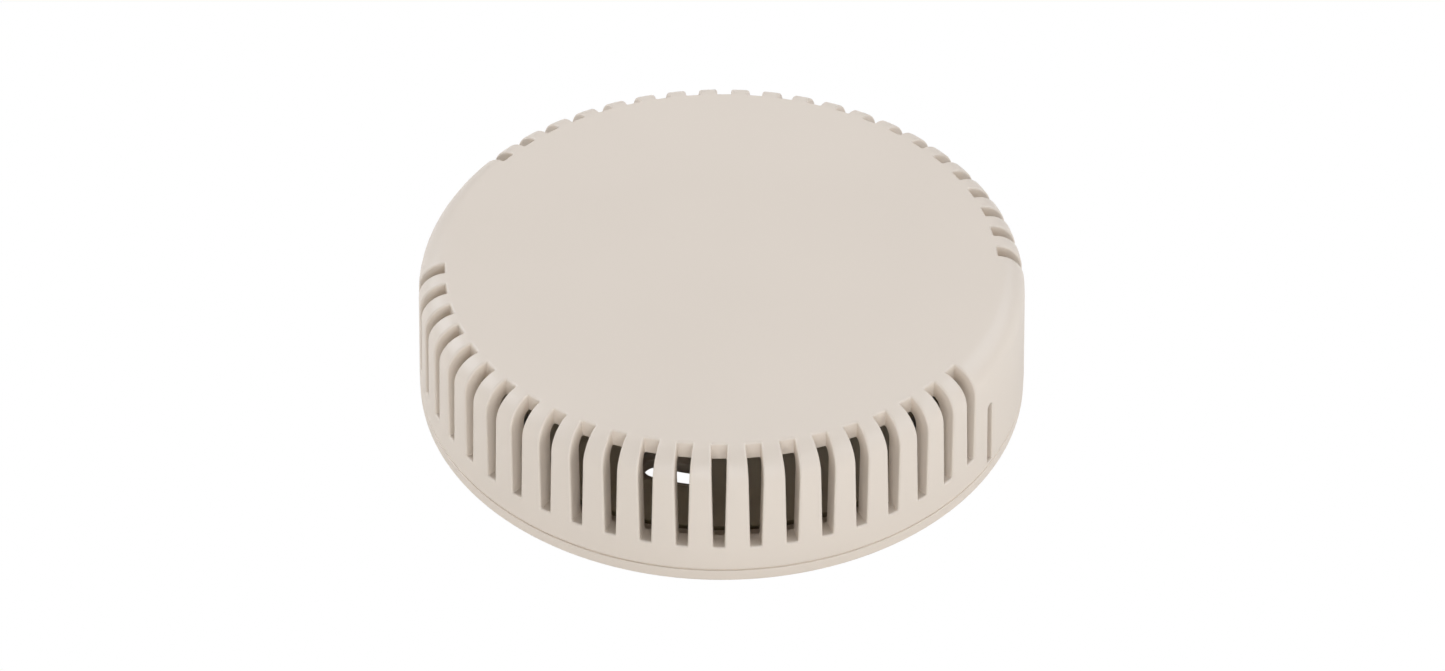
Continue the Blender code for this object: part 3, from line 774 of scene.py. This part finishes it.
def make_base(plastic):
    """The base: a floor with its openings, a flange, a spigot and three board posts."""
    openings = [cable_outline]
    openings += [functools.partial(fixing_outline, angle) for angle in FIXING_ANGLES]
    holes = [outline_at(HOLE_ROUND) for outline_at in openings]
    posts = [on_circle(POST_RADIAL_PLACE, angle) for angle in POST_ANGLES]
    post_feet = [circle(POST_RADIUS, 32, place) for place in posts]
    rim = circle(SPIGOT_INNER, BASE_SIDES)
    shape = bmesh.new()
    sheet(shape, [rim, *holes, *post_feet], FLOOR)
    sheet(shape, [rim, *holes], 0)
    for outline_at in openings:
        lipped_wall(shape, outline_at, 0, FLOOR, HOLE_ROUND)

    wide = CASE_RADIUS
    low_edge = arc((wide - BASE_EDGE, BASE_EDGE), BASE_EDGE, -90, 0, 5)
    lip = arc((wide - FLANGE_ROUND, SEAM_HEIGHT - FLANGE_ROUND), FLANGE_ROUND, 0, 90, 3)
    crest = BASE_HIGH.z
    outer_crest = arc((SPIGOT_OUTER - SPIGOT_ROUND, crest - SPIGOT_ROUND), SPIGOT_ROUND, 0, 90, 3)
    inner_crest = arc((SPIGOT_INNER + SPIGOT_ROUND, crest - SPIGOT_ROUND), SPIGOT_ROUND, 90, 180, 3)
    land = COVER_FOOT - LAND_CLEARANCE
    profile = [(SPIGOT_INNER, 0), *low_edge, *lip, (LAND_RADIUS, SEAM_HEIGHT)]
    profile += [(LAND_RADIUS, land), (SPIGOT_OUTER, land)]
    profile += [*outer_crest, *inner_crest, (SPIGOT_INNER, FLOOR)]
    add(shape, spun(profile, BASE_SIDES))

    post_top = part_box("circuit_board")[0].z - 0.3 * MM
    post = [(POST_RADIUS, FLOOR), (POST_RADIUS, post_top - 0.3 * MM)]
    post += [(POST_RADIUS - 0.3 * MM, post_top), (PILOT_RADIUS, post_top)]
    post += [(PILOT_RADIUS, FLOOR / 2), (0, FLOOR / 2)]
    for place in posts:
        add(shape, spun(post, 32), place)
    return piece(shape, "base_moulding", "base", plastic, ["base_plate"])


def add(shape, other, place=(0, 0), height=0.0):
    """Copies one bmesh into another, moved to a place."""
    mesh = kept(other, "copied")
    known = len(shape.verts)
    shape.from_mesh(mesh)
    shape.verts.ensure_lookup_table()
    bmesh.ops.translate(shape, verts=shape.verts[known:], vec=(place[0], place[1], height))
    bpy.data.meshes.remove(mesh)


def plate(outlines, low, high):
    """A flat plate with an outer outline and holes."""
    shape = bmesh.new()
    sheet(shape, outlines, low)
    sheet(shape, outlines, high)
    for outline in outlines:
        curtain(shape, outline, low, high)
    bmesh.ops.remove_doubles(shape, verts=shape.verts, dist=0.0005 * MM)
    bmesh.ops.recalc_face_normals(shape, faces=shape.faces)
    return shape


def middle(name):
    """The middle of a CAD node's box, in plan."""
    low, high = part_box(name)
    return ((low + high) / 2).xy


def cell_pins():
    return [f"cell_pin_{number}" for number in (1, 2, 3)]


def make_board(resist, edge):
    """The circuit board, with its windows and holes, coated above and below."""
    low, high = (corner.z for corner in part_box("circuit_board"))
    outlines = [circle(BOARD_RADIUS, 144), cable_outline()]
    for angle in FIXING_ANGLES:
        turn = math.radians(angle)
        outlines.append(rounded_rectangle(WINDOW_SIZE, 2 * MM, (WINDOW_RADIUS, 0), turn))
    for angle in POST_ANGLES:
        outlines.append(circle(PILOT_RADIUS, 24, on_circle(POST_RADIAL_PLACE, angle)))
    for pin in cell_pins():
        outlines.append(circle(0.8 * MM, 16, middle(pin)))
    shape = plate(outlines, low, high)
    for face in shape.faces:
        face.material_index = 0 if abs(face.normal.z) > 0.5 else 1
    rims = [
        e
        for e in shape.edges
        if len({f.material_index for f in e.link_faces}) == 2 and e.verts[0].co.z > low + 0.1 * MM
    ]
    bevel(shape, rims, 0.08 * MM, 1)
    return piece(
        shape, "board", "base", [resist, edge], ["circuit_board"], sharp=30
    )


def ribbon(shape, route, width, low, high):
    """A flat strip that follows a route of straight runs with mitred bends."""
    points = [Vector(point) * MM for point in route]
    left, right = [], []
    for index, point in enumerate(points):
        before = (point - points[index - 1]).normalized() if index else None
        after = (points[index + 1] - point).normalized() if index + 1 < len(points) else None
        heading = ((before or after) + (after or before)).normalized()
        side = Vector((-heading.y, heading.x))
        reach = width / 2 / max(heading.dot(before or after), 0.5)
        left.append(point + side * reach)
        right.append(point - side * reach)
    prism(shape, left + right[::-1], low, high)


def prism(shape, outline, low, high):
    """A flat outline drawn up between two heights."""
    face = shape.faces.new([shape.verts.new((x, y, low)) for x, y in outline])
    drawn = bmesh.ops.extrude_face_region(shape, geom=[face], use_keep_orig=True)["geom"]
    top = [item for item in drawn if isinstance(item, bmesh.types.BMVert)]
    bmesh.ops.translate(shape, verts=top, vec=(0, 0, high - low))


def make_tracks(resist):
    """Copper tracks that stand a little proud under the resist."""
    shape = bmesh.new()
    high = BOARD_TOP + TRACK_HEIGHT
    for width, route in TRACKS:
        ribbon(shape, route, width * MM, BOARD_TOP - 0.01 * MM, high)
    return piece(shape, "board_tracks", "base", resist)


def make_pads(tin):
    """Bare tinned rings round the board's screws and the cell's pins."""
    shape = bmesh.new()
    rings = [(on_circle(POST_RADIAL_PLACE, angle), 3.0 * MM, 1.4 * MM) for angle in POST_ANGLES]
    rings += [(middle(pin), 1.15 * MM, 0.8 * MM) for pin in cell_pins()]
    for place, outer, inner in rings:
        top = BOARD_TOP + 0.05 * MM
        profile = [(inner, BOARD_TOP), (inner, top), (outer, top), (outer, BOARD_TOP)]
        add(shape, spun([*profile, profile[0]], 32), place)
    return piece(shape, "board_pads", "base", tin)


def make_print(ink):
    """Printed outlines round the parts, without any lettering."""
    shape = bmesh.new()
    low, high = BOARD_TOP, BOARD_TOP + 0.03 * MM
    for name, margin in PRINTED_BOXES.items():
        start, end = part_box(name)
        size = ((end - start).x + 2 * margin * MM, (end - start).y + 2 * margin * MM)
        centre = ((start + end) / 2).xy
        outer = rounded_rectangle(size, 0.4 * MM, centre, steps=2)
        inside = (size[0] - 0.3 * MM, size[1] - 0.3 * MM)
        inner = rounded_rectangle(inside, 0.25 * MM, centre, steps=2)
        add(shape, plate([outer, inner], low, high))
    for name, margin in PRINTED_CIRCLES.items():
        start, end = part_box(name)
        radius = (end.x - start.x) / 2 + margin * MM
        profile = [(radius, low), (radius, high), (radius - 0.15 * MM, high)]
        profile += [(radius - 0.15 * MM, low), (radius, low)]
        add(shape, spun(profile, 64), middle(name))
    return piece(shape, "board_print", "base", ink)


def brick(shape, centre, size, low, turned=False, round_by=0.0):
    """A block that stands at a height on its middle, with its edges rounded."""
    width, depth, height = size
    if turned:
        width, depth = depth, width
    block = bmesh.new()
    place = Matrix.Translation((centre[0], centre[1], low + height / 2))
    scale = Matrix.Diagonal((width, depth, height, 1))
    bmesh.ops.create_cube(block, size=1, matrix=place @ scale)
    if round_by:
        bevel(block, list(block.edges), round_by, 2)
    add(shape, block)


def make_chip_parts(name, body_material, tin, places):
    """Small two-ended surface-mount parts: a body between two tinned ends."""
    bodies, ends = bmesh.new(), bmesh.new()
    for x, y, turned in places:
        centre = Vector((x, y)) * MM
        brick(bodies, centre, (1.1 * MM, 0.8 * MM, 0.45 * MM), BOARD_TOP, turned, 0.03 * MM)
        reach = Vector((0, 0.68 * MM)) if turned else Vector((0.68 * MM, 0))
        for side in (-1, 1):
            end = centre + side * reach
            brick(ends, end, (0.28 * MM, 0.84 * MM, 0.48 * MM), BOARD_TOP, turned, 0.05 * MM)
            foot = centre + side * reach * 1.3
            brick(ends, foot, (0.5 * MM, 0.9 * MM, 0.12 * MM), BOARD_TOP, turned, 0.04 * MM)
    count = len(bodies.faces)
    add(bodies, ends)
    bodies.faces.ensure_lookup_table()
    for face in bodies.faces[count:]:
        face.material_index = 1
    return piece(bodies, name, "base", [body_material, tin])


def join_rings(shape, first, second):
    """Joins two closed rows of points with a wall of faces."""
    for index in range(len(first)):
        after = (index + 1) % len(first)
        shape.faces.new((first[index], first[after], second[after], second[index]))


def leg(shape, root, outward, width):
    """A gull-wing leg: out of the package, down, and flat on its pad."""
    half_side = Vector((-outward.y, outward.x)) * width / 2
    rings = []
    for out, up in LEG_RUN:
        centre = root + outward * out * MM
        left, right = centre - half_side, centre + half_side
        low = BOARD_TOP + up * MM
        high = low + LEG_THICKNESS
        corners = [(*left, low), (*right, low), (*right, high), (*left, high)]
        rings.append([shape.verts.new(corner) for corner in corners])
    for near, far in zip(rings, rings[1:]):
        join_rings(shape, near, far)
    shape.faces.new(rings[0])
    shape.faces.new(rings[-1])


def make_legs(tin):
    """Leads of the chips and switches, which stand them on the board."""
    shape = bmesh.new()
    for name, sides, count, pitch, width in LEADED:
        low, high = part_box(name)
        centre = ((low + high) / 2).xy
        half = ((high - low) / 2).xy
        for side in sides:
            outward = Vector(side)
            along = Vector((-outward.y, outward.x))
            edge = centre + Vector((outward.x * half.x, outward.y * half.y))
            for index in range(count):
                root = edge + along * (index - (count - 1) / 2) * pitch * MM
                leg(shape, root, outward, width * MM)
    return piece(shape, "component_leads", "base", tin)


def softened(name, width, steps=2, crease=40):
    """A bmesh of a CAD node with its flat faces whole again and its hard edges rounded."""
    shape = bmesh.new()
    shape.from_mesh(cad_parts[name].data)
    bmesh.ops.remove_doubles(shape, verts=shape.verts, dist=0.001 * MM)
    bmesh.ops.dissolve_limit(
        shape,
        angle_limit=math.radians(1),
        verts=shape.verts,
        edges=shape.edges,
    )
    hard = [
        edge
        for edge in shape.edges
        if len(edge.link_faces) == 2 and edge.calc_face_angle(0) > math.radians(crease)
    ]
    bevel(shape, hard, width, steps)
    return shape


def make_softened(materials):
    """The moulded and stamped parts whose CAD shape only needs its edges rounded."""
    for name, (body, slot, material, width) in SOFTENED.items():
        shape = softened(name, width * MM)
        piece(shape, f"{name}_finished", body, materials[material], [name])


def turned_part(name, node_name, profile, body, materials, sides=64, assign=None):
    """A finely turned part about the middle of the CAD node that it stands for."""
    shape = spun([(r * MM, z * MM) for r, z in profile], sides)
    if assign:
        for face in shape.faces:
            face.material_index = assign(face.calc_center_median())
    place = middle(node_name)
    bmesh.ops.translate(shape, verts=shape.verts, vec=(place.x, place.y, 0))
    return piece(shape, name, body, materials, [node_name])


def rounded_corner(radius, height, width, steps=3, down=False):
    """Profile points, in millimetres, for a round corner of an upright cylinder."""
    if down:
        return arc((radius - width, height + width), width, -90, 0, steps)
    return arc((radius - width, height - width), width, 0, 90, steps)


def make_cell(black, white, membrane, gold):
    low, high = (corner.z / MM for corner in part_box("cell_can"))
    radius = CELL_RADIUS
    groove = high - 2.2
    waist = radius - 0.6
    profile = [(0, low), *rounded_corner(radius, low, 0.4, down=True)]
    for band in range(3):
        height = low + 1.6 + band * 0.9
        profile += [(radius, height), (radius - 0.15, height + 0.15)]
        profile += [(radius - 0.15, height + 0.35), (radius, height + 0.5)]
    profile += [*rounded_corner(radius, groove, 0.15), (waist, groove + 0.3)]
    profile += [(waist, high), (0, high)]
    turned_part("gas_cell_can", "cell_can", profile, "base", black)

    low, high = (corner.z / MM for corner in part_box("cell_cap"))
    seat = high - 1.2
    profile = [(0, low), (radius - 0.2, low), (radius, low + 0.2)]
    profile += rounded_corner(radius, high, 0.5, 4)
    profile += [(5.6, high), (5.45, high - 0.15), (5.15, high - 0.15), (5.0, high)]
    profile += [(4.75, high), (4.6, high - 0.15), (4.6, seat), (1.25, seat)]
    profile += [(1.25, low + 0.5), (0, low + 0.5)]
    turned_part("gas_cell_cap", "cell_cap", profile, "base", white)

    low, high = (corner.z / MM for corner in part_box("cell_filter"))
    profile = [(0, low), (4.3, low), (4.3, high - 0.1), (4.2, high)]
    profile += [(3.6, high), (3.3, high - 0.12), (0, high - 0.12)]
    turned_part("gas_filter", "cell_filter", profile, "base", membrane)
    for pin in cell_pins():
        low, high = (corner.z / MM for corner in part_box(pin))
        profile = [(0, low), (0.3, low), (0.5, low + 0.3), (0.5, high), (0, high)]
        turned_part(f"gas_{pin}", pin, profile, "base", gold, 20)


def make_sounder(black):
    low, high = (corner.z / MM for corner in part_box("sounder"))
    profile = [(0, low), *rounded_corner(6.0, low, 0.2, down=True)]
    profile += [(6.0, low + 1.2), (5.85, low + 1.3), (5.85, low + 1.5), (6.0, low + 1.6)]
    profile += [*rounded_corner(6.0, high, 0.5, 4), (3.4, high), (3.2, high - 0.25)]
    profile += [(2.0, high - 0.25), (1.9, high - 0.1), (1.3, high - 0.1), (1.2, high - 0.2)]
    profile += [(1.2, high - 2.5), (0, high - 2.5)]
    turned_part("sounder_case", "sounder", profile, "base", black)


def make_capacitors(sleeve, stripe, aluminium):
    """Sleeved cans with a printed band and a bare end that is scored to vent."""
    for number in (1, 2):
        name = f"capacitor_{number}"
        low, high = (corner.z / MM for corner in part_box(name))
        radius = 3.15
        profile = [(0, low + 0.3), (2.4, low + 0.3), (2.5, low), (radius - 0.2, low)]
        profile += [(radius, low + 0.2), (radius, low + 1.0), (radius - 0.12, low + 1.1)]
        profile += [(radius - 0.3, low + 1.3), (radius - 0.12, low + 1.5), (radius, low + 1.6)]
        profile += [*rounded_corner(radius, high, 0.35, 4), (2.35, high), (2.3, high - 0.12)]
        profile += [(0.3, high - 0.12), (0, high - 0.12)]

        def finish_of(point):
            if math.hypot(point.x, point.y) < 2.32 * MM and point.z > (high - 0.5) * MM:
                return 2
            return 1 if abs(math.atan2(point.y, point.x)) < math.radians(28) else 0

        materials = [sleeve, stripe, aluminium]
        turned_part(f"{name}_can", name, profile, "base", materials, 64, finish_of)


def make_lamp(epoxy):
    low, high = (corner.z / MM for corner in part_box("status_lamp"))
    shoulder = high - 1.5
    profile = [(0, low), *rounded_corner(1.85, low, 0.1, down=True)]
    profile += [*rounded_corner(1.85, low + 0.8, 0.1), (1.5, low + 0.85)]
    profile += [*arc((0, shoulder), 1.5, 0, 90, 10)[:-1], (0, high)]
    turned_part("status_lamp_lens", "status_lamp", profile, "base", epoxy, 40)


def make_plunger(black):
    low, high = (corner.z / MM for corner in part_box("test_switch_plunger"))
    profile = [(0, low), (1.6, low), *rounded_corner(1.6, high, 0.25, 4), (0, high)]
    name = "test_switch_plunger"
    turned_part("test_plunger_cap", name, profile, name, black, 40)


def make_stage():
    """A lit table, wide enough to fill the view."""
    shape = bmesh.new()
    bmesh.ops.create_grid(shape, x_segments=1, y_segments=1, size=6.0)
    mesh = bpy.data.meshes.new("table")
    shape.to_mesh(mesh)
    shape.free()
    mesh.materials.append(white_table())
    table = bpy.data.objects.new("table", mesh)
    table.location.z = -0.05 * MM
    bpy.context.scene.collection.objects.link(table)


def make_light(name, azimuth, elevation, watts):
    """A square softbox that stands round the object and faces it."""
    turn, rise = math.radians(azimuth), math.radians(elevation)
    out = Vector((math.sin(turn) * math.cos(rise), -math.cos(turn) * math.cos(rise), math.sin(rise)))
    lamp = bpy.data.lights.new(name, "AREA")
    lamp.shape = "SQUARE"
    lamp.size = LAMP_SIZE
    lamp.energy = watts
    lamp.color = linear(LAMP_TINT)[:3]
    made = bpy.data.objects.new(name, lamp)
    made.location = out * LAMP_DISTANCE
    made.rotation_euler = out.to_track_quat("Z", "Y").to_euler()
    bpy.context.scene.collection.objects.link(made)


def light_scene():
    world = bpy.data.worlds.new("studio")
    world.use_nodes = True
    tree = world.node_tree
    tree.nodes.clear()
    white = linear("#ffffff")
    lit = node(tree, "ShaderNodeBackground", {"Color": white, "Strength": ROOM_LIGHT})
    shown = node(tree, "ShaderNodeBackground", {"Color": white, "Strength": 1.0})
    seen = node(tree, "ShaderNodeLightPath").outputs["Is Camera Ray"]
    mixed = node(tree, "ShaderNodeMixShader", {0: seen, 1: lit.outputs[0], 2: shown.outputs[0]})
    node(tree, "ShaderNodeOutputWorld", {"Surface": mixed.outputs[0]})
    bpy.context.scene.world = world
    bpy.context.scene.view_settings.view_transform = "Standard"
    for name, (azimuth, elevation, watts) in SOFTBOXES.items():
        make_light(name, azimuth, elevation, watts)


def make_camera():
    """A long lens, 40.8 degrees above the table, in front of the object."""
    distance = 627.04 * MM
    elevation = math.radians(40.805)
    camera = bpy.data.objects.new("camera", bpy.data.cameras.new("camera"))
    camera.data.sensor_width = 36
    camera.data.lens = 93.94
    camera.data.shift_x = 0.00053
    camera.data.shift_y = 0.02525
    camera.location = (0, -distance * math.cos(elevation), distance * math.sin(elevation))
    camera.rotation_euler = (math.pi / 2 - elevation, 0, 0)
    bpy.context.scene.collection.objects.link(camera)
    bpy.context.scene.camera = camera


make_camera()
make_stage()
light_scene()
plastic = moulded_abs()
black = black_abs()
white = white_nylon()
tin = tinned_copper()
resist = solder_resist()
epoxy = chip_epoxy()
make_cover(plastic)
make_base(plastic)
make_board(resist, laminate_edge())
make_tracks(resist)
make_pads(tin)
make_print(print_ink())
make_chip_parts("chip_resistors", epoxy, tin, RESISTORS)
make_chip_parts("chip_capacitors", ceramic_body(), tin, CERAMICS)
make_legs(tin)
make_cell(black, white, filter_membrane(), gold_flash())
make_sounder(black)
make_capacitors(capacitor_sleeve(), sleeve_print(), drawn_aluminium())
make_lamp(tinted_epoxy())
make_plunger(black)
make_softened(
    {
        "green": green_polyamide(),
        "black": black,
        "epoxy": epoxy,
        "red": red_polyester(),
        "blue": blue_polyester(),
        "white": white,
        "zinc": zinc_plate(),
        "brass": stamped_brass(),
    }
)
